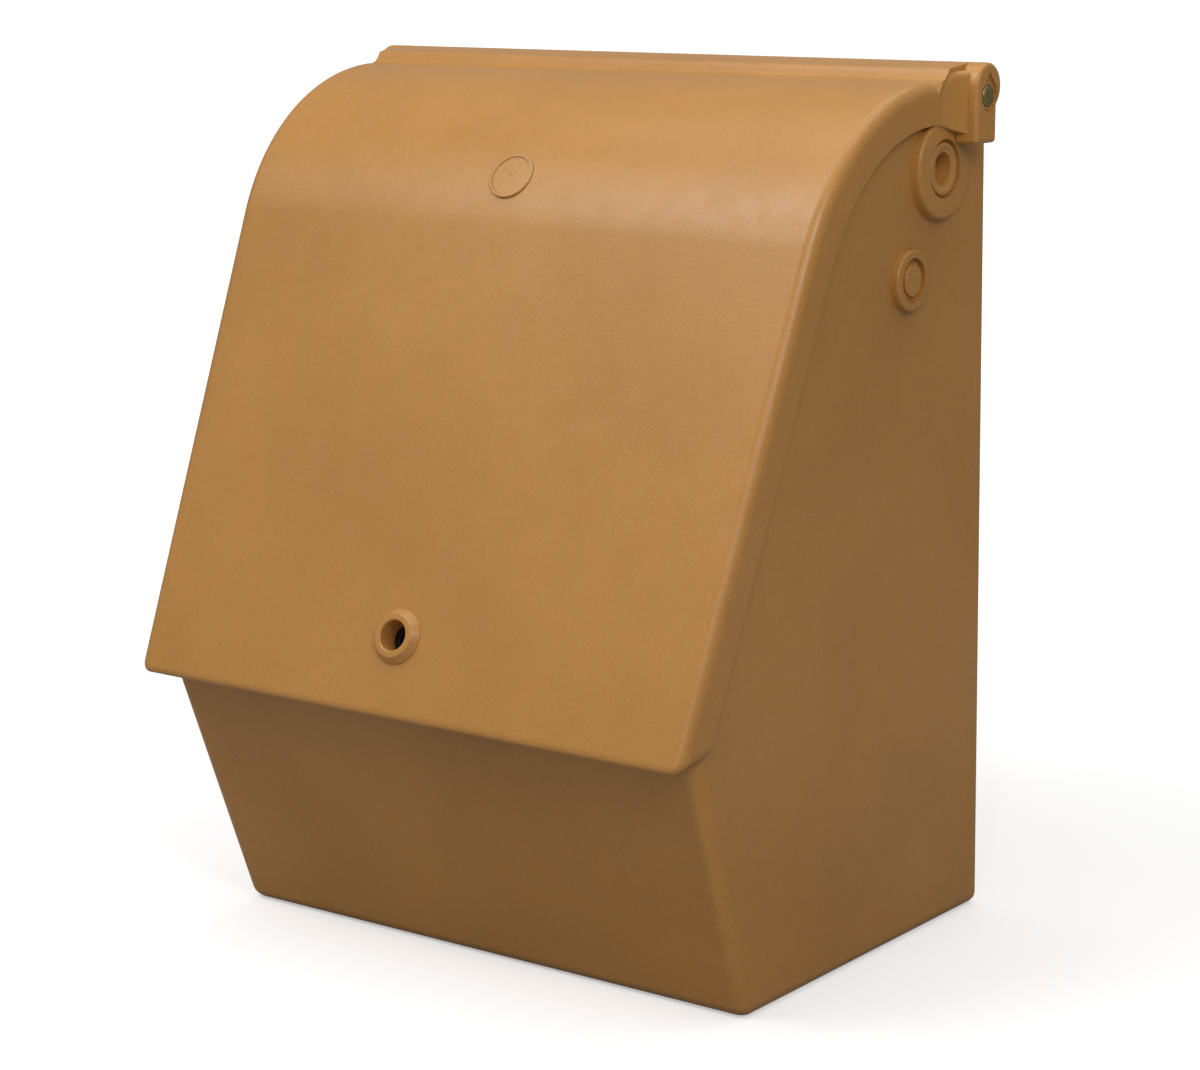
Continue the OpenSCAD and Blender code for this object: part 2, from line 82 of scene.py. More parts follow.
def backY(z):
    return form["depth"] / 2 - math.tan(math.radians(form["backLean"])) * z


def slopeY(z, inset):
    return lidLowY + math.tan(slope) * (z - form["lidLowEdge"]) + inset / math.cos(slope)


def crownPoint(angle, radius):
    return crownY - radius * math.cos(angle), crownZ + radius * math.sin(angle)


def traceFace(bm, start, moves):
    # a closed outline in the YZ plane: each move is a point, or an arc as (centre, degrees, steps)
    first = last = bm.verts.new((0, start[0], start[1]))
    for move in moves:
        if len(move) == 2:
            last = bmesh.ops.extrude_vert_indiv(bm, verts=[last])["verts"][0]
            last.co = (0, move[0], move[1])
        else:
            centre, turn, steps = move
            arc = bmesh.ops.spin(bm, geom=[last], cent=(0, centre[0], centre[1]), axis=(1, 0, 0),
                                 angle=math.radians(turn), steps=steps)
            last = [v for v in arc["geom_last"] if isinstance(v, bmesh.types.BMVert)][0]
    bmesh.ops.contextual_create(bm, geom=[first, last])
    bmesh.ops.remove_doubles(bm, verts=bm.verts, dist=0.0005)
    return bmesh.ops.contextual_create(bm, geom=bm.edges)["faces"][0]


def slab(bm, face, low, high):
    # thickens an outline along X
    bmesh.ops.translate(bm, vec=(low, 0, 0), verts=face.verts)
    grown = bmesh.ops.extrude_face_region(bm, geom=[face])["geom"]
    moved = [v for v in grown if isinstance(v, bmesh.types.BMVert)]
    bmesh.ops.translate(bm, vec=(high - low, 0, 0), verts=moved)
    bmesh.ops.recalc_face_normals(bm, faces=bm.faces)


def flareSides(bm, half):
    # trims both ends to the drafted side planes
    for side in (-1, 1):
        everything = list(bm.verts) + list(bm.edges) + list(bm.faces)
        bmesh.ops.bisect_plane(bm, geom=everything, dist=0.0001, plane_co=(side * half, 0, 0),
                               plane_no=Vector((side, 0, -draft)).normalized(), clear_outer=True)
        rim = [e for e in bm.edges if e.is_boundary]
        bmesh.ops.holes_fill(bm, edges=rim, sides=0)
    bmesh.ops.recalc_face_normals(bm, faces=bm.faces)


def roundEdges(bm, test, radius, segments):
    # test is given the edge's middle and its two faces' normals
    chosen = []
    for e in bm.edges:
        if len(e.link_faces) == 2:
            a, b = (f.normal for f in e.link_faces)
            if test((e.verts[0].co + e.verts[1].co) / 2, a, b):
                chosen.append(e)
    if chosen:
        bmesh.ops.bevel(bm, geom=chosen, offset=radius, offset_type="OFFSET", segments=segments,
                        profile=0.5, affect="EDGES", material=-1, clamp_overlap=False)
        # welds the slivers a bevel can leave, which would upset the exact solver
        bmesh.ops.remove_doubles(bm, verts=bm.verts, dist=0.004)
        bmesh.ops.dissolve_degenerate(bm, edges=bm.edges, dist=0.004)


def isSharp(a, b, degrees=30):
    return a.angle(b, 0) > math.radians(degrees)


def isSide(n):
    return abs(n.x) > 0.99


def toObject(name, bm):
    mesh = bpy.data.meshes.new(name)
    bm.to_mesh(mesh)
    bm.free()
    obj = bpy.data.objects.new(name, mesh)
    bpy.context.scene.collection.objects.link(obj)
    return obj


def combine(base, tool, operation):
    # joins or cuts with the exact solver, and drops the tool
    step = base.modifiers.new("combine", "BOOLEAN")
    step.operation = operation
    step.solver = "EXACT"
    step.object = tool
    graph = bpy.context.evaluated_depsgraph_get()
    result = bpy.data.meshes.new_from_object(base.evaluated_get(graph))
    base.modifiers.clear()
    old = base.data
    base.data = result
    bpy.data.meshes.remove(old)
    bpy.data.objects.remove(tool)
    return base


def turnedShape(outline, soften=0.0, segments=3, steps=96):
    # a lathe shape round Z, from (radius, height) points; soften rounds its sharp rims,
    # but not a dimple in the middle
    bm = bmesh.new()
    last = bm.verts.new((outline[0][0], 0, outline[0][1]))
    for radius, height in outline[1:]:
        last = bmesh.ops.extrude_vert_indiv(bm, verts=[last])["verts"][0]
        last.co = (radius, 0, height)
    bmesh.ops.spin(bm, geom=list(bm.verts) + list(bm.edges), cent=(0, 0, 0), axis=(0, 0, 1),
                   angle=math.tau, steps=steps, use_merge=True)
    bmesh.ops.remove_doubles(bm, verts=bm.verts, dist=0.0005)
    bmesh.ops.recalc_face_normals(bm, faces=bm.faces)
    if soften:
        roundEdges(bm, lambda m, a, b: isSharp(a, b, 25) and math.hypot(m.x, m.y) > 2,
                   soften, segments)
    return bm


def place(bm, matrix, mirrored=False):
    bmesh.ops.transform(bm, matrix=matrix, verts=bm.verts)
    if mirrored:
        bmesh.ops.scale(bm, vec=(-1, 1, 1), verts=bm.verts)
        bmesh.ops.reverse_faces(bm, faces=bm.faces)
    return bm


def onSlope(up, x):
    at = Vector((x, lidLowY + up * math.sin(slope), form["lidLowEdge"] + up * math.cos(slope)))
    return Matrix.Translation(at) @ Matrix.Rotation(math.pi / 2 - slope, 4, "X")


def onCrown(degrees, x):
    angle = math.radians(degrees)
    y, z = crownPoint(angle, form["crownRadius"])
    return Matrix.Translation((x, y, z)) @ Matrix.Rotation(math.pi / 2 - angle, 4, "X")


def alongX(x, y, z):
    return Matrix.Translation((x, y, z)) @ Matrix.Rotation(math.pi / 2, 4, "Y")


def gather(shapes):
    # one mesh from several
    whole = bmesh.new()
    for bm in shapes:
        part = bpy.data.meshes.new("part")
        bm.to_mesh(part)
        bm.free()
        whole.from_mesh(part)
        bpy.data.meshes.remove(part)
    return whole


def bore(matrix, radius, low, high, mirrored=False, steps=72):
    tool = turnedShape([(0, low), (radius, low), (radius, high), (0, high)], steps=steps)
    return place(tool, matrix, mirrored)


def steppedBore(matrix, steps, mirrored=False, sides=96):
    # steps are (radius, from height), and the last is (0, top)
    outline = [(0, steps[0][1])]
    for (radius, low), (_, high) in zip(steps, steps[1:]):
        outline += [(radius, low), (radius, high)]
    outline.append((0, steps[-1][1]))
    return place(turnedShape(outline, steps=sides), matrix, mirrored)


def cutAll(base, tools):
    return combine(base, toObject("cutters", gather(tools)), "DIFFERENCE")


def joinAll(base, shapes):
    return combine(base, toObject("additions", gather(shapes)), "UNION")


def finishPiece(obj, name, body, finish, slotName, *nodes):
    # scales to metres, shades, and hands the piece to the frame
    obj.name = name
    obj.data.name = name
    bm = bmesh.new()
    bm.from_mesh(obj.data)
    bmesh.ops.remove_doubles(bm, verts=bm.verts, dist=0.001)
    bmesh.ops.scale(bm, vec=(0.001, 0.001, 0.001), verts=bm.verts)
    for f in bm.faces:
        f.smooth = True
        f.material_index = 0
    bm.to_mesh(obj.data)
    bm.free()
    obj.data.materials.clear()
    obj.data.materials.append(finish)
    obj.data.set_sharp_from_angle(angle=math.radians(38))
    even = obj.modifiers.new("evenNormals", "WEIGHTED_NORMAL")
    even.keep_sharp = True
    even.weight = 60
    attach(obj, body)
    if nodes:
        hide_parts(*nodes)
    print("made", name, len(obj.data.polygons))
    return obj


def newMaterial(name):
    material = bpy.data.materials.new(name)
    material.use_nodes = True
    tree = material.node_tree
    shader = [n for n in tree.nodes if n.type == "BSDF_PRINCIPLED"][0]
    return material, tree, shader


def addNode(tree, kind, inputs=None, **settings):
    node = tree.nodes.new(kind)
    for key, value in settings.items():
        setattr(node, key, value)
    for key, value in (inputs or {}).items():
        if isinstance(value, bpy.types.NodeSocket):
            tree.links.new(value, node.inputs[key])
        else:
            node.inputs[key].default_value = value
    return node


def mouldedGroup():
    # colour drift, grain and scuffs of moulded plastic
    group = bpy.data.node_groups.new("mouldedSurface", "ShaderNodeTree")
    for name, kind, default in (
            ("Base", "NodeSocketColor", (0.4, 0.2, 0.07, 1)), ("Drift", "NodeSocketFloat", 0.5),
            ("Speckle", "NodeSocketFloat", 0.5), ("Gloss", "NodeSocketFloat", 0.4),
            ("Grain", "NodeSocketFloat", 0.5), ("Scuffs", "NodeSocketFloat", 0.5)):
        socket = group.interface.new_socket(name, in_out="INPUT", socket_type=kind)
        socket.default_value = default
    for name, kind in (("Colour", "NodeSocketColor"), ("Roughness", "NodeSocketFloat"),
                       ("Height", "NodeSocketFloat")):
        group.interface.new_socket(name, in_out="OUTPUT", socket_type=kind)
    start = group.nodes.new("NodeGroupInput")
    end = group.nodes.new("NodeGroupOutput")
    where = addNode(group, "ShaderNodeTexCoord").outputs["Object"]

    def noise(scale, detail, rough, distort=0.0):
        return addNode(group, "ShaderNodeTexNoise",
                       {"Vector": where, "Scale": scale, "Detail": detail, "Roughness": rough,
                        "Distortion": distort}).outputs["Fac"]

    def ramp(value, low, high, lowTo=0.0, highTo=1.0):
        return addNode(group, "ShaderNodeMapRange",
                       {"Value": value, "From Min": low, "From Max": high, "To Min": lowTo,
                        "To Max": highTo}).outputs["Result"]

    def calc(operation, a, b):
        return addNode(group, "ShaderNodeMath", {0: a, 1: b}, operation=operation).outputs[0]

    def tint(colour, factor, shade, blend="MIX"):
        node = addNode(group, "ShaderNodeMix", data_type="RGBA", blend_type=blend)
        group.links.new(factor, node.inputs["Factor"])
        for socket, value in ((node.inputs[6], colour), (node.inputs[7], shade)):
            if isinstance(value, bpy.types.NodeSocket):
                group.links.new(value, socket)
            else:
                socket.default_value = value
        return node.outputs[2]

    broad = ramp(noise(7, 3, 0.5, 0.4), 0.35, 0.68)
    patches = ramp(noise(38, 4, 0.6, 0.8), 0.42, 0.7)
    fine = ramp(noise(430, 3, 0.6), 0.4, 0.72)
    speck = ramp(noise(1500, 2, 0.5), 0.58, 0.74)
    colour = tint(start.outputs["Base"], calc("MULTIPLY", broad, start.outputs["Drift"]),
                  (0.8, 0.77, 0.7, 1), "MULTIPLY")
    colour = tint(colour, calc("MULTIPLY", calc("MULTIPLY", patches, start.outputs["Drift"]), 0.7),
                  (1.1, 1.07, 1.02, 1), "MULTIPLY")
    colour = tint(colour, calc("MULTIPLY", fine, start.outputs["Speckle"]),
                  (0.84, 0.8, 0.74, 1), "MULTIPLY")
    colour = tint(colour, calc("MULTIPLY", speck, start.outputs["Speckle"]),
                  (0.62, 0.42, 0.24, 1))
    # scuffs: short fine streaks in sparse patches
    streakSpace = addNode(group, "ShaderNodeMapping", {
        "Vector": where, "Rotation": (0.5, 0.9, 0.3), "Scale": (900, 60, 900)})
    streaks = addNode(group, "ShaderNodeTexNoise", {
        "Vector": streakSpace.outputs[0], "Scale": 1.0, "Detail": 2.0}).outputs["Fac"]
    scuff = calc("MULTIPLY", ramp(streaks, 0.69, 0.74), ramp(noise(19, 2, 0.5), 0.58, 0.66))
    scuff = calc("MULTIPLY", scuff, start.outputs["Scuffs"])
    colour = tint(colour, scuff, (0.62, 0.42, 0.25, 1))
    rough = calc("ADD", start.outputs["Gloss"], ramp(noise(60, 4, 0.6), 0.3, 0.7, -0.05, 0.07))
    rough = calc("ADD", rough, calc("MULTIPLY", scuff, 0.2))
    peel = calc("MULTIPLY", noise(620, 3, 0.55), start.outputs["Grain"])
    wave = calc("MULTIPLY", noise(22, 2, 0.5), 0.8)
    height = calc("ADD", peel, wave)
    group.links.new(colour, end.inputs["Colour"])
    group.links.new(rough, end.inputs["Roughness"])
    group.links.new(height, end.inputs["Height"])
    return group


mouldedSurface = mouldedGroup()


def plasticFinish(name, look):
    material, tree, shader = newMaterial(name)
    surface = addNode(tree, "ShaderNodeGroup", node_tree=mouldedSurface)
    for key in ("Base", "Drift", "Speckle", "Gloss", "Grain", "Scuffs"):
        surface.inputs[key].default_value = look[key]
    bump = addNode(tree, "ShaderNodeBump", {"Height": surface.outputs["Height"],
                                            "Strength": look["bump"], "Distance": 0.0004})
    tree.links.new(surface.outputs["Colour"], shader.inputs["Base Color"])
    tree.links.new(surface.outputs["Roughness"], shader.inputs["Roughness"])
    tree.links.new(bump.outputs["Normal"], shader.inputs["Normal"])
    shader.inputs["Specular IOR Level"].default_value = look["specular"]
    return material


tan = (0.51, 0.243, 0.057, 1)
tubPlastic = plasticFinish("tubPlastic", {
    "Base": tan, "Drift": 0.55, "Speckle": 0.35, "Gloss": 0.36, "Grain": 0.6, "Scuffs": 0.6,
    "bump": 0.35, "specular": 0.45})
lidPlastic = plasticFinish("lidPlastic", {
    "Base": tan, "Drift": 0.5, "Speckle": 0.32, "Gloss": 0.33, "Grain": 0.55, "Scuffs": 0.35,
    "bump": 0.3, "specular": 0.45})
trimPlastic = plasticFinish("trimPlastic", {
    "Base": tan, "Drift": 0.3, "Speckle": 0.2, "Gloss": 0.3, "Grain": 0.3,
    "Scuffs": 0.2, "bump": 0.2, "specular": 0.55})


def metalFinish(name, look):
    # plated steel: cloudy colour, fine turning or drawing marks
    material, tree, shader = newMaterial(name)
    where = addNode(tree, "ShaderNodeTexCoord").outputs["Object"]
    cloud = addNode(tree, "ShaderNodeTexNoise", {"Vector": where, "Scale": look["cloud"],
                                                 "Detail": 4.0}).outputs["Fac"]
    mix = addNode(tree, "ShaderNodeMix", data_type="RGBA")
    tree.links.new(cloud, mix.inputs["Factor"])
    mix.inputs[6].default_value = look["colourA"]
    mix.inputs[7].default_value = look["colourB"]
    tree.links.new(mix.outputs[2], shader.inputs["Base Color"])
    marks = addNode(tree, "ShaderNodeTexNoise", {"Vector": where, "Scale": look["marks"],
                                                 "Detail": 2.0}).outputs["Fac"]
    rough = addNode(tree, "ShaderNodeMapRange", {"Value": marks, "To Min": look["roughA"],
                                                 "To Max": look["roughB"]})
    tree.links.new(rough.outputs["Result"], shader.inputs["Roughness"])
    bump = addNode(tree, "ShaderNodeBump", {"Height": marks, "Strength": 0.2, "Distance": 0.0001})
    tree.links.new(bump.outputs["Normal"], shader.inputs["Normal"])
    shader.inputs["Metallic"].default_value = look["metallic"]
    return material


yellowZinc = metalFinish("yellowZinc", {
    "colourA": (0.20, 0.165, 0.05, 1), "colourB": (0.36, 0.31, 0.12, 1), "cloud": 260.0,
    "marks": 1400.0, "roughA": 0.3, "roughB": 0.5, "metallic": 0.75})
zincSteel = metalFinish("zincSteel", {
    "colourA": (0.5, 0.51, 0.52, 1), "colourB": (0.66, 0.67, 0.68, 1), "cloud": 200.0,
    "marks": 1200.0, "roughA": 0.28, "roughB": 0.46, "metallic": 1.0})
springSteel = metalFinish("springSteel", {
    "colourA": (0.16, 0.17, 0.19, 1), "colourB": (0.3, 0.31, 0.33, 1), "cloud": 300.0,
    "marks": 1500.0, "roughA": 0.3, "roughB": 0.5, "metallic": 1.0})
blackRubber = metalFinish("blackRubber", {
    "colourA": (0.018, 0.018, 0.018, 1), "colourB": (0.04, 0.038, 0.036, 1), "cloud": 150.0,
    "marks": 900.0, "roughA": 0.6, "roughB": 0.8, "metallic": 0.0})
naturalNylon = metalFinish("naturalNylon", {
    "colourA": (0.66, 0.63, 0.55, 1), "colourB": (0.78, 0.76, 0.7, 1), "cloud": 120.0,
    "marks": 800.0, "roughA": 0.35, "roughB": 0.5, "metallic": 0.0})
print("materials ready")


tub = {
    "rimInset": 16.5, "knee": 160.0, "lip": 78.0, "backRim": 482.06, "beamFront": 29.0,
    "beamDrop": 26.5, "frontRound": 8.5, "footRound": 7.5, "backRound": 4.5, "innerRound": 3.8,
    "channel": 21.2, "knuckle": 9.0, "knuckleWidth": 32.0,
    "padRadius": 27.0, "padHeight": 5.3, "padRound": 1.9, "bossRadius": 16.7, "bossHeight": 4.5,
    "bossRound": 1.5, "rodBore": 6.05,
    "padY": rodY - 23, "padZ": rodZ - 38.6, "bossY": rodY - 49, "bossZ": rodZ - 97,
}
frontLean = math.atan((-slopeY(tub["knee"], tub["rimInset"]) - form["depth"] / 2) / tub["knee"])
kneeY = slopeY(tub["knee"], tub["rimInset"])
rimZ = topZ - tub["rimInset"]
beamY = rodY - tub["beamFront"]
beamZ = rodZ - tub["beamDrop"]
lipTop = (kneeY + tub["lip"] * math.sin(slope), tub["knee"] + tub["lip"] * math.cos(slope))


def tubOutside():
    bm = bmesh.new()
    wall = form["tubWall"]
    start = (-form["depth"] / 2, 0)
    rimStart = crownPoint(slope, form["crownRadius"] - tub["rimInset"])
    face = traceFace(bm, start, [
        (kneeY, tub["knee"]), rimStart, ((crownY, crownZ), form["lidSlope"] - 90, 24),
        (beamY, rimZ), (backY(rimZ) - wall, rimZ), (backY(tub["backRim"]) - wall, tub["backRim"]),
        (backY(tub["backRim"]), tub["backRim"]), (form["depth"] / 2, 0)])
    slab(bm, face, -beyond, beyond)
    flareSides(bm, form["baseWidth"] / 2)
    roundEdges(bm, lambda m, a, b: isSharp(a, b) and (isSide(a) or isSide(b))
               and min(a.y, b.y) < -0.3 and m.z > 1, tub["frontRound"], 7)
    roundEdges(bm, lambda m, a, b: isSharp(a, b, 50) and (isSide(a) or isSide(b))
               and m.y > backY(m.z) - 2 and m.z > 1, tub["backRound"], 5)
    roundEdges(bm, lambda m, a, b: isSharp(a, b, 25) and (a.z < -0.99 or b.z < -0.99),
               tub["footRound"], 6)
    return toObject("tubOutside", bm)


def tubInside():
    bm = bmesh.new()
    wall = form["tubWall"]
    frontIn, backIn = wall / math.cos(frontLean), wall / math.cos(math.radians(form["backLean"]))
    over = form["height"] + 40
    turn = wall / (1 + math.cos(frontLean + slope))
    kneeIn = (kneeY + turn * (math.cos(frontLean) + math.cos(slope)),
              tub["knee"] + turn * (math.sin(frontLean) - math.sin(slope)))
    face = traceFace(bm, (-form["depth"] / 2 - math.tan(frontLean) * wall + frontIn, wall), [
        kneeIn,
        (lipTop[0] + wall * math.cos(slope), lipTop[1] - wall * math.sin(slope)),
        (lipTop[0] - 40 * math.cos(slope), lipTop[1] + 40 * math.sin(slope)),
        (lipTop[0] - 40, over), (beamY, over), (beamY, beamZ),
        (backY(beamZ) - backIn, beamZ), (backY(wall) - backIn, wall)])
    slab(bm, face, -beyond, beyond)
    flareSides(bm, form["baseWidth"] / 2 - wall)
    roundEdges(bm, lambda m, a, b: isSharp(a, b, 25) and m.z < lipTop[1] - 8
               and not (a.z > 0.9 or b.z > 0.9), tub["innerRound"], 4)
    return toObject("tubInside", bm)


def sidePad(radius, height, y, z, soften, mirrored):
    half = tubHalf(z)
    shape = turnedShape([(0, -3), (radius + 0.6, -3), (radius, height), (0, height)], steps=128)
    roundEdges(shape, lambda m, a, b: m.z > height - 0.1 and isSharp(a, b, 40), soften, 5)
    return place(shape, alongX(half, y, z), mirrored)


def knuckleShape(x):
    bm = bmesh.new()

    def onRound(degrees):
        angle = math.radians(degrees)
        return rodY + tub["knuckle"] * math.cos(angle), rodZ + tub["knuckle"] * math.sin(angle)

    face = traceFace(bm, onRound(170), [
        ((rodY, rodZ), -297, 40), (beamY + 10, rimZ - 9), (beamY + 3, rimZ - 12),
        (beamY + 3, rimZ)])
    slab(bm, face, x - tub["knuckleWidth"] / 2, x + tub["knuckleWidth"] / 2)
    roundEdges(bm, lambda m, a, b: isSharp(a, b, 60) and (isSide(a) or isSide(b)), 1.0, 3)
    return bm


fixing = {"bossRadius": 13.0, "deep": 9.0, "bushRadius": 6.5, "x": 120.0, "heights": (150.0, 370.0)}
lock = {
    "up": 47.0, "x": -8.0, "bore": 8.4, "base": 15.5, "rim": 12.3, "rise": 4.5, "sleeve": 10.8,
    "depth": 9, "camRoom": 12.0,
}
keeperPlate = {
    "wide": 64, "tall": 30, "thick": 2, "below": 16.5, "corner": 4, "bore": 9.0,
    "rivetX": 24, "rivetHole": 2.5,
}
buffer = {
    "up": 6, "inset": 48, "hole": 3.1, "head": 4.2, "neck": 3.0, "base": 9.0, "top": 7.5,
    "gap": 0.3, "soften": 0.5,
}
drain = {"radius": 3.5, "x": 119, "y": 83.3}
knuckleEnd = lidHalf(rodZ) - form["lidWall"] - 7
padFace = tubHalf(tub["padZ"]) + tub["padHeight"]
bossFace = tubHalf(tub["bossZ"]) + tub["bossHeight"]
bufferUp = lock["up"] + buffer["up"]
bufferX = form["baseWidth"] / 2 - buffer["inset"]
# bores from the face inwards; the pad's widest step is room for the nut in the hinge beam
padSteps = [(11.1, -40), (17.95, -21.3), (11.1, -10.4), (16.2, -3), (0, 20)]
bossSteps = [(5.1, -40), (12.2, -3), (0, 20)]

tubShell = combine(tubOutside(), tubInside(), "DIFFERENCE")
cutAll(tubShell, [bore(alongX(0, rodY, rodZ), tub["channel"], -beyond, beyond, steps=128)])
added = [knuckleShape(x) for x in (-60, 60, -(knuckleEnd - 16), knuckleEnd - 16)]
for left in (False, True):
    added.append(sidePad(tub["padRadius"], tub["padHeight"], tub["padY"], tub["padZ"],
                         tub["padRound"], left))
    added.append(sidePad(tub["bossRadius"], tub["bossHeight"], tub["bossY"], tub["bossZ"],
                         tub["bossRound"], left))
fixingTurns = [Matrix.Translation((x, backY(z), z)) @ Matrix.Rotation(math.pi / 2, 4, "X")
               for x in (-fixing["x"], fixing["x"]) for z in fixing["heights"]]
for turn in fixingTurns:
    boss = turnedShape([(0, 2), (fixing["bossRadius"], 2), (fixing["bossRadius"], fixing["deep"]),
                        (0, fixing["deep"])], 0.8)
    added.append(place(boss, turn))
joinAll(tubShell, added)
print("tub: joined")
cuts = [bore(alongX(0, rodY, rodZ), tub["rodBore"], -beyond, beyond)]
for left in (False, True):
    cuts.append(steppedBore(alongX(padFace, tub["padY"], tub["padZ"]), padSteps, left))
    cuts.append(steppedBore(alongX(bossFace, tub["bossY"], tub["bossZ"]), bossSteps, left))
    side = -1 if left else 1
    cuts.append(bore(onSlope(bufferUp, side * bufferX), buffer["hole"], -27, -11))
    cuts.append(bore(onSlope(lock["up"], lock["x"] + side * keeperPlate["rivetX"]),
                     keeperPlate["rivetHole"], -27, -11))
cuts += [bore(turn, fixing["bushRadius"] + 0.1, -20, 40) for turn in fixingTurns]
cuts.append(bore(onSlope(lock["up"], lock["x"]), lock["camRoom"], -30, -11))
cuts += [bore(Matrix.Translation((x, y, 0)), drain["radius"], -2, 8, steps=32)
         for x in (-drain["x"], drain["x"]) for y in (-drain["y"], drain["y"])]
cutAll(tubShell, cuts)
finishPiece(tubShell, "tubShell", "box", tubPlastic, "tub_plastic", "body_shell")


lid = {
    "skirt": 23.5, "sideRound": 7.4, "skirtRound": 0.9, "innerRound": 3.2,
    "lipReturn": 12.0, "cheekOut": 12.1, "cheekStrip": 5.3, "cheekFront": 13.0, "cheekBack": 8.5,
    "cheekLow": 25.5, "cheekRound": 2.3, "channel": 10.2, "ridgeDrop": 2.7,
}
cheekX = lidHalf(rodZ) + lid["cheekOut"]
innerX = lidHalf(rodZ) - form["lidWall"]
ridgeY = rodY - 24


def lidOutside():
    bm = bmesh.new()
    low = form["lidLowEdge"]
    skirtRadius = form["crownRadius"] - lid["skirt"]
    centre = (crownY, crownZ)
    face = traceFace(bm, (lidLowY, low), [
        (tangentY, tangentZ), (centre, form["lidSlope"] - 90, 36), (rodY - 29, topZ),
        (ridgeY - 2, topZ + 3), (ridgeY, form["height"] - lid["ridgeDrop"]),
        (rodY, form["height"]), ((rodY, barrelZ), -90, 12), (rodY, barrelZ), (rodY, rodZ),
        (rodY - lid["cheekFront"], rodZ - 19),
        (crownY, crownZ + skirtRadius - 0.5), (centre, 90 - form["lidSlope"], 30),
        (slopeY(low + 17, lid["skirt"]), low + 17), (lidLowY + 28, low + 4.5)])
    slab(bm, face, -beyond, beyond)
    flareSides(bm, lidHalf(0))

    def outerRun(m):
        fromCrown = Vector((m.y - crownY, m.z - crownZ)).length
        return m.y < crownY + 1 and (m.y < slopeY(m.z, 4) or m.z < low + 3
                                     or (fromCrown > form["crownRadius"] - 3 and m.z > tangentZ))

    roundEdges(bm, lambda m, a, b: isSharp(a, b, 14) and abs(m.x) < 150
               and m.y > crownY + 1 and m.z > topZ - 1 and m.y < rodY - 10, 1.3, 4)
    roundEdges(bm, lambda m, a, b: isSharp(a, b, 40) and outerRun(m)
               and (isSide(a) or isSide(b) or abs(m.z - low) < 0.5), lid["sideRound"], 8)
    roundEdges(bm, lambda m, a, b: isSharp(a, b, 40) and (isSide(a) != isSide(b))
               and m.y > lidLowY + 12 and m.y < rodY - 14 and m.z < topZ - 10
               and not outerRun(m), lid["skirtRound"], 3)
    return toObject("lidOutside", bm)


def lidInside():
    bm = bmesh.new()
    low, wall = form["lidLowEdge"], form["lidWall"]
    lipY = lidLowY + lid["lipReturn"]
    face = traceFace(bm, (slopeY(low + wall, wall), low + wall + 2), [
        crownPoint(slope, form["crownRadius"] - wall),
        ((crownY, crownZ), form["lidSlope"] - 90, 30),
        (rodY + lid["channel"], topZ - wall), (rodY + lid["channel"], rodZ - 60),
        (lipY + 60, low - 20), (lipY, low - 20), (lipY, low + wall + 2)])
    slab(bm, face, -beyond, beyond)
    flareSides(bm, lidHalf(0) - wall)
    roundEdges(bm, lambda m, a, b: isSharp(a, b, 40) and (isSide(a) or isSide(b)) and m.y < rodY
               and (m.y < slopeY(m.z, 9) or m.z > tangentZ + 8) and m.z > low + 8,
               lid["innerRound"], 4)
    return toObject("lidInside", bm)


def cheekPlate(left):
    bm = bmesh.new()
    foot = rodZ - lid["cheekLow"]
    sweep = 180 + math.degrees(math.acos(lid["cheekBack"] / lid["cheekFront"]))
    face = traceFace(bm, (rodY - lid["cheekFront"], barrelZ), [
        ((rodY, barrelZ), -sweep, 44), (rodY + lid["cheekBack"], foot),
        (rodY - lid["cheekFront"], foot)])
    slab(bm, face, innerX, cheekX)
    roundEdges(bm, lambda m, a, b: m.z < foot + 0.1 and isSharp(a, b)
               and not (isSide(a) or isSide(b)), 2.2, 4)
    roundEdges(bm, lambda m, a, b: m.x > cheekX - 0.1 and isSharp(a, b), lid["cheekRound"], 5)
    cheekObject = toObject("cheek", place(bm, Matrix.Identity(4), left))
    return combine(cheekObject, passCut(left), "DIFFERENCE")


def passCut(left):
    # clears the tub's pad behind the cheek's foot
    bm = bmesh.new()
    bmesh.ops.create_cube(bm, size=1)
    inner = tubHalf(tub["padZ"]) + tub["padHeight"] + 0.6
    low, high = rodZ - 60, rodZ - 12.5
    bmesh.ops.scale(bm, vec=(inner - 150, 60, high - low), verts=bm.verts)
    bmesh.ops.translate(bm, vec=((inner + 150) / 2, rodY, (low + high) / 2), verts=bm.verts)
    return toObject("pass", place(bm, Matrix.Identity(4), left))


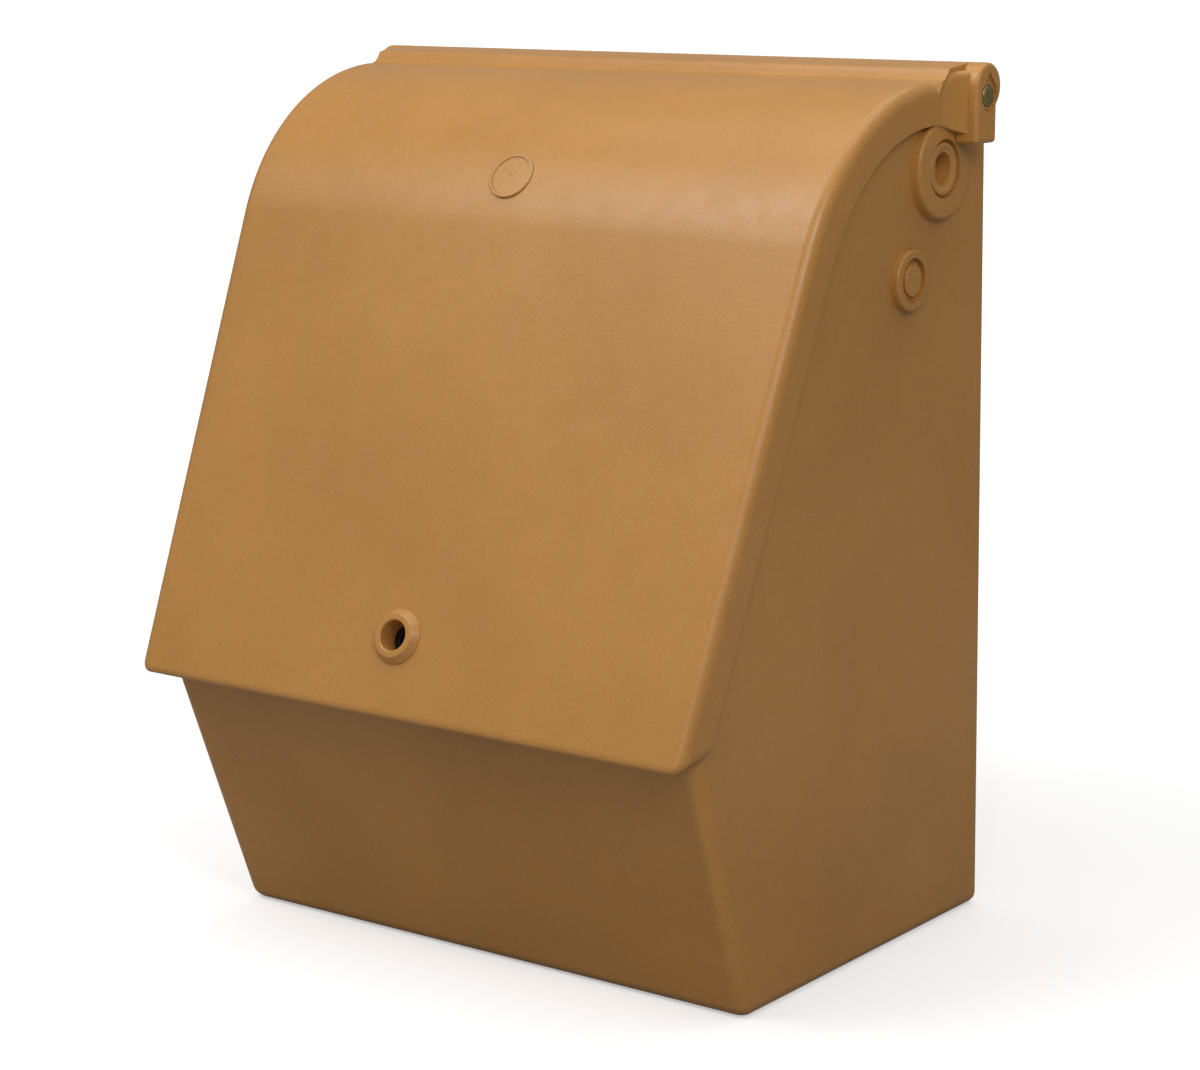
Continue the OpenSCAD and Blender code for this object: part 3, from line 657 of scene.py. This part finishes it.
def fairing(left):
    # sections stepped back from the lid's rounded edge to the cheek
    bm = bmesh.new()
    stations, inset, topRound = 12, 0.3, 3.2
    side = lidHalf(topZ)
    cheekY = rodY - lid["cheekFront"]
    reach = cheekY + 1.5 - crownY
    loops = []
    for station in range(stations + 1):
        t = station / stations
        y = crownY - 0.8 + (reach + 0.8) * t
        out = side + (cheekX - lid["cheekStrip"] - side) * max(0, (t - 0.08) / 0.92) ** 2.0
        out -= inset * (1 - t)
        rise = max(0.0, y - (rodY - 29)) / 5.0
        top = topZ + min(1.0, rise) * (form["height"] - 4.2 - topZ)
        low = rodZ - 12.5 - 6.5 * min(1.0, max(0.0, (y - crownY) / (cheekY - crownY))) - 0.9
        outLow = out - draft * (top - low) * (1 - t)
        corners = [bm.verts.new(p) for p in (
            (side - 14, y, low), (outLow, y, low), (out, y, top), (side - 14, y, top))]
        bm.faces.new(corners)
        soft = lid["sideRound"] * (1 - t) + topRound * t
        bmesh.ops.bevel(bm, geom=[corners[2]], offset=soft * 0.999, segments=8, profile=0.5,
                        offset_type="OFFSET", affect="VERTICES", material=-1)
        loops.append([f for f in bm.faces if f not in loops][-1])
    for loop, after in zip(loops, loops[1:]):
        bmesh.ops.bridge_loops(bm, edges=list(loop.edges) + list(after.edges))
    bmesh.ops.delete(bm, geom=loops[1:-1], context="FACES_ONLY")
    bmesh.ops.recalc_face_normals(bm, faces=bm.faces)
    return place(bm, Matrix.Identity(4), left)


def pinRecess(left):
    # teardrop sunk round the rod's end, pointing up
    bm = bmesh.new()
    radius, apex, deep = 8.8, 13.0, 2.0
    lean = math.acos(radius / apex)
    startAt = (rodY + radius * math.sin(-lean), rodZ + radius * math.cos(lean))
    face = traceFace(bm, startAt, [((rodY, rodZ), 360 - 2 * math.degrees(lean), 48),
                                   (rodY, rodZ + apex)])
    slab(bm, face, cheekX - deep, cheekX + 5)
    return place(bm, Matrix.Identity(4), left)


crownRing = {"angle": 36.0, "ring": 14.0, "head": 12.0, "proud": 0.9, "shank": 7.0}
collar = {"radius": 7.6, "sunk": 1.3, "soften": 0.5}

lidShell = combine(lidOutside(), lidInside(), "DIFFERENCE")
cutAll(lidShell, [bore(alongX(0, rodY, rodZ), lid["channel"], -innerX, innerX, steps=96)])
print("lid: shell")
for left in (False, True):
    combine(lidShell, cheekPlate(left), "UNION")
joinAll(lidShell, [fairing(False), fairing(True)])
ring = turnedShape([(0, -3), (crownRing["ring"], -3), (crownRing["ring"], crownRing["proud"]),
                    (0, crownRing["proud"])], 0.45)
joinAll(lidShell, [place(ring, onCrown(crownRing["angle"], lock["x"]))])
print("lid: joined")
cutAll(lidShell, [pinRecess(False), pinRecess(True)])
cutAll(lidShell, [
    bore(alongX(innerX - 1, rodY, rodZ), collar["radius"] + 0.1, 0, 40),
    bore(alongX(innerX - 1, rodY, rodZ), collar["radius"] + 0.1, 0, 40, True),
    bore(onSlope(lock["up"], lock["x"]), 10.9, -20, 20),
    steppedBore(onCrown(crownRing["angle"], lock["x"]), [
        (crownRing["shank"] + 0.1, -20), (crownRing["head"] + 0.1, -0.9), (0, 10)])])
finishPiece(lidShell, "lidShell", "lid", lidPlastic, "lid_plastic", "lid_shell")


def fitting(name, body, finish, slotName, bm, node):
    return finishPiece(toObject(name, bm), name, body, finish, slotName, node)


rod = {"radius": 6.0, "short": 0.3, "chamfer": 0.8, "groove": 5.2, "grooveWidth": 1.3,
       "washer": 1.5}
rodEnd, rodRadius = cheekX - rod["short"], rod["radius"]
groove = knuckleEnd + rod["washer"] + 0.6
grooveEnd = groove + rod["grooveWidth"]
ends = [(0, rodEnd), (rodRadius - rod["chamfer"], rodEnd), (rodRadius, rodEnd - rod["chamfer"]),
        (rodRadius, grooveEnd), (rod["groove"], grooveEnd), (rod["groove"], groove),
        (rodRadius, groove)]
outline = ends + [(radius, -height) for radius, height in reversed(ends)]
fitting("hingeRod", "lid", yellowZinc, "yellow_zinc",
        place(turnedShape(outline, 0.25, 3), alongX(0, rodY, rodZ)), "hinge_rod")

padBush = {
    "sleeve": 11.0, "head": 14.3, "bevelOut": 11.6, "bevelIn": 10.8, "bore": 9.0, "deep": 8.4,
    "sunk": 0.7, "dish": 1.5, "past": 9, "soften": 0.55,
}
sidePlug = {
    "shank": 5.0, "long": 14, "disc": 8.6, "dimple": 0.8, "hexagon": 10.9, "hexHeight": 0.9,
    "soften": 0.5,
}
seatDepth = 3.0


def cheekBush(left, side):
    inner, outer = innerX + 0.6, cheekX - collar["sunk"]
    shape = turnedShape([(rod["radius"], inner), (collar["radius"], inner),
                         (collar["radius"], outer), (rod["radius"], outer),
                         (rod["radius"], inner)], collar["soften"], 3)
    fitting("cheekBush_" + side, "lid", trimPlastic, "trim_plastic",
            place(shape, alongX(0, rodY, rodZ), left), "cheek_bush_" + side)


def padRing(left, side):
    inside = tubHalf(tub["padZ"]) - form["tubWall"] - padBush["past"]
    seat = padFace - seatDepth
    top, dish, floorX = padFace - padBush["sunk"], padFace - padBush["dish"], seat - padBush["deep"]
    shape = turnedShape([
        (0, inside), (padBush["sleeve"], inside), (padBush["sleeve"], seat),
        (padBush["head"], seat), (padBush["head"], top), (padBush["bevelOut"], top),
        (padBush["bevelIn"], dish), (padBush["bore"], dish), (padBush["bore"], floorX),
        (0, floorX)], padBush["soften"], 4)
    fitting("padBush_" + side, "box", trimPlastic, "trim_plastic",
            place(shape, alongX(0, tub["padY"], tub["padZ"]), left), "pad_bush_" + side)


def blankingPlug(left, side):
    seat = bossFace - seatDepth
    foot, lift = seat - sidePlug["long"], seat + 0.4
    shape = turnedShape([
        (0, foot), (sidePlug["shank"], foot), (sidePlug["shank"], lift), (sidePlug["disc"], lift),
        (sidePlug["disc"], bossFace - 0.4), (sidePlug["dimple"], bossFace - 0.4),
        (sidePlug["dimple"], bossFace - 1.0), (0, bossFace - 1.0)], sidePlug["soften"], 3)
    plug = toObject("plug", place(shape, alongX(0, tub["bossY"], tub["bossZ"]), left))
    hexagon = bmesh.new()
    bmesh.ops.create_cone(hexagon, cap_ends=True, segments=6, radius1=sidePlug["hexagon"],
                          radius2=sidePlug["hexagon"], depth=sidePlug["hexHeight"])
    roundEdges(hexagon, lambda m, a, b: isSharp(a, b), 0.3, 2)
    hexAt = alongX(seat + sidePlug["hexHeight"] / 2, tub["bossY"], tub["bossZ"])
    plug = combine(plug, toObject("hexagon", place(hexagon, hexAt, left)), "UNION")
    finishPiece(plug, "sidePlug_" + side, "box", trimPlastic, "trim_plastic", "side_plug_" + side)


def lidBuffer(left, side):
    base = -keeperPlate["below"]
    top = base + (keeperPlate["below"] - form["lidWall"] - buffer["gap"])
    shape = turnedShape([
        (0, base - 8), (buffer["head"], base - 8), (buffer["head"], base - 5),
        (buffer["neck"], base - 5), (buffer["neck"], base), (buffer["base"], base),
        (buffer["top"], top), (0, top)], buffer["soften"], 3)
    fitting("lidBuffer_" + side, "box", blackRubber, "rubber",
            place(shape, onSlope(bufferUp, (-1 if left else 1) * bufferX)), "lid_buffer_" + side)


for left, side in ((False, "right"), (True, "left")):
    cheekBush(left, side)
    padRing(left, side)
    blankingPlug(left, side)
    lidBuffer(left, side)

ferrule = [
    (lock["bore"], -lock["depth"]), (lock["sleeve"], -lock["depth"]), (lock["sleeve"], 0.0),
    (lock["base"], 0.0), (lock["base"] - 0.3, 0.7), (lock["rim"] + 0.1, lock["rise"] - 0.3),
    (lock["rim"] - 0.6, lock["rise"]), (lock["bore"] + 0.5, lock["rise"]),
    (lock["bore"], lock["rise"] - 0.6), (lock["bore"], -lock["depth"])]
fitting("lockFerrule", "lid", trimPlastic, "trim_plastic",
        place(turnedShape(ferrule, 0.35, 3), onSlope(lock["up"], lock["x"])), "lock_ferrule")

disc = [
    (0, -9), (crownRing["shank"], -9), (crownRing["shank"], -0.9), (crownRing["head"], -0.9),
    (crownRing["head"], 0.55), (1.2, 0.55), (0.9, 0.25), (0, 0.25)]
fitting("crownPlug", "lid", lidPlastic, "trim_plastic",
        place(turnedShape(disc, 0.3, 2), onCrown(crownRing["angle"], lock["x"])), "crown_plug")

# keeper plate behind the lock hole, with its two rivets
bm = bmesh.new()
bmesh.ops.create_cube(bm, size=1)
bmesh.ops.scale(bm, vec=(keeperPlate["wide"], keeperPlate["tall"], keeperPlate["thick"]),
                verts=bm.verts)
bmesh.ops.translate(bm, vec=(0, 0, keeperPlate["thick"] / 2 - keeperPlate["below"]),
                    verts=bm.verts)
roundEdges(bm, lambda m, a, b: abs(abs(m.x) - keeperPlate["wide"] / 2) < 0.1
           and abs(abs(m.y) - keeperPlate["tall"] / 2) < 0.1, keeperPlate["corner"], 5)
roundEdges(bm, lambda m, a, b: isSharp(a, b, 60), 0.35, 2)
keeper = toObject("keeper", place(bm, onSlope(lock["up"], lock["x"])))
rivetXs = (-keeperPlate["rivetX"], keeperPlate["rivetX"])
cutAll(keeper, [bore(onSlope(lock["up"], lock["x"]), keeperPlate["bore"], -20, -10)]
       + [bore(onSlope(lock["up"], lock["x"] + x), keeperPlate["rivetHole"], -20, -10)
          for x in rivetXs])
finishPiece(keeper, "lockKeeper", "box", zincSteel, "keeper_steel", "lock_keeper")

rivet = [(0, -23.5), (4.3, -23.5), (4.3, -21.5), (2.4, -21.5), (2.4, -14.5), (4.8, -14.5),
         (3.6, -13.1), (0, -13.0)]
fitting("keeperRivets", "box", zincSteel, "rivet_steel",
        gather([place(turnedShape(rivet, 0.3, 2, 40), onSlope(lock["up"], lock["x"] + x))
                for x in rivetXs]), "keeper_rivets")
bolt, sleeve, flange = 4.25, fixing["bushRadius"], 11
bush = [(bolt, 1), (sleeve, 1), (sleeve, fixing["deep"]), (flange, fixing["deep"]),
        (flange, 10.5), (bolt, 10.5), (bolt, 1)]
fitting("fixingBushes", "box", zincSteel, "zinc_steel",
        gather([place(turnedShape(bush, 0.35, 2, 64), turn) for turn in fixingTurns]),
        "fixing_bushes")

# pieces kept as they are
finishes = {
    "rod_washer_left": naturalNylon, "rod_washer_right": naturalNylon,
    "rod_clip_left": springSteel, "rod_clip_right": springSteel,
    "pad_nut_left": zincSteel, "pad_nut_right": zincSteel,
    "plug_clip_left": springSteel, "plug_clip_right": springSteel,
    "ferrule_nut": zincSteel, "crown_plug_clip": springSteel,
}
for node, finish in finishes.items():
    piece = frame["nodes"][node]
    piece.data.materials.clear()
    piece.data.materials.append(finish)
print("fittings ready")


studio = {
    "floor": (0.8, 0.8, 0.8, 1), "floorBounce": (0.36, 0.36, 0.36, 1), "glowNear": 0.42,
    "glowFar": 0.88, "ambient": 0.28, "key": 22.5, "top": 13.0, "fill": 11.5, "streak": 4.5,
    "lens": 90.0, "camera": (1.0141, -1.3924, 0.5702), "target": (0.0082, -0.0245, 0.2278),
}
bm = bmesh.new()
bmesh.ops.create_grid(bm, x_segments=1, y_segments=1, size=40)
floor = toObject("floor", bm)
floorMaterial, tree, shader = newMaterial("paleFloor")
shader.inputs["Roughness"].default_value = 0.9
shader.inputs["Specular IOR Level"].default_value = 0.1
shader.inputs["Emission Color"].default_value = (1, 1, 1, 1)
# the floor glows only to the camera, and more in the distance, so that it meets the background
where = addNode(tree, "ShaderNodeTexCoord").outputs["Object"]
away = addNode(tree, "ShaderNodeVectorMath", {0: where}, operation="LENGTH").outputs["Value"]
fade = addNode(tree, "ShaderNodeMapRange", {
    "Value": away, "From Min": 0.45, "From Max": 2.4, "To Min": studio["glowNear"],
    "To Max": studio["glowFar"]}).outputs["Result"]
path = addNode(tree, "ShaderNodeLightPath")
glow = addNode(tree, "ShaderNodeMath", {0: path.outputs["Is Camera Ray"], 1: fade},
               operation="MULTIPLY")
shade = addNode(tree, "ShaderNodeMix", {"Factor": path.outputs["Is Camera Ray"]}, data_type="RGBA")
shade.inputs[6].default_value = studio["floorBounce"]
shade.inputs[7].default_value = studio["floor"]
tree.links.new(shade.outputs[2], shader.inputs["Base Color"])
tree.links.new(glow.outputs[0], shader.inputs["Emission Strength"])
floor.data.materials.append(floorMaterial)

scene = bpy.context.scene
scene.view_settings.view_transform = "Standard"
world = bpy.data.worlds.new("studio")
scene.world = world
world.use_nodes = True
tree = world.node_tree
background = [n for n in tree.nodes if n.type == "BACKGROUND"][0]
path = addNode(tree, "ShaderNodeLightPath")
seen = addNode(tree, "ShaderNodeMapRange", {"Value": path.outputs["Is Camera Ray"],
                                            "To Min": studio["ambient"], "To Max": 1.0})
tree.links.new(seen.outputs["Result"], background.inputs["Strength"])
background.inputs["Color"].default_value = (1, 1, 1, 1)


def softBox(name, at, target, size, power, tall=None):
    light = bpy.data.lights.new(name, "AREA")
    light.shape = "RECTANGLE"
    light.size = size
    light.size_y = tall or size
    light.energy = power
    obj = bpy.data.objects.new(name, light)
    obj.location = at
    obj.rotation_euler = (Vector(target) - Vector(at)).to_track_quat("-Z", "Y").to_euler()
    scene.collection.objects.link(obj)
    return obj


softBox("keyLight", (-0.85, -1.3, 2.1), (0, 0, 0.25), 1.2, studio["key"])
softBox("topLight", (0.1, 0.1, 1.9), (0, 0, 0.3), 1.8, studio["top"])
softBox("fillLight", (1.6, -1.1, 1.5), (0, 0, 0.25), 0.7, studio["fill"])
softBox("streakLight", (1.1, -1.9, 1.1), (0, 0, 0.25), 0.12, studio["streak"], 1.5)

lens = bpy.data.cameras.new("camera")
lens.lens = studio["lens"]
lens.sensor_width = 36
camera = bpy.data.objects.new("camera", lens)
camera.location = studio["camera"]
aim = Vector(studio["target"]) - Vector(studio["camera"])
camera.rotation_euler = aim.to_track_quat("-Z", "Y").to_euler()
scene.collection.objects.link(camera)
scene.camera = camera
print("studio ready")
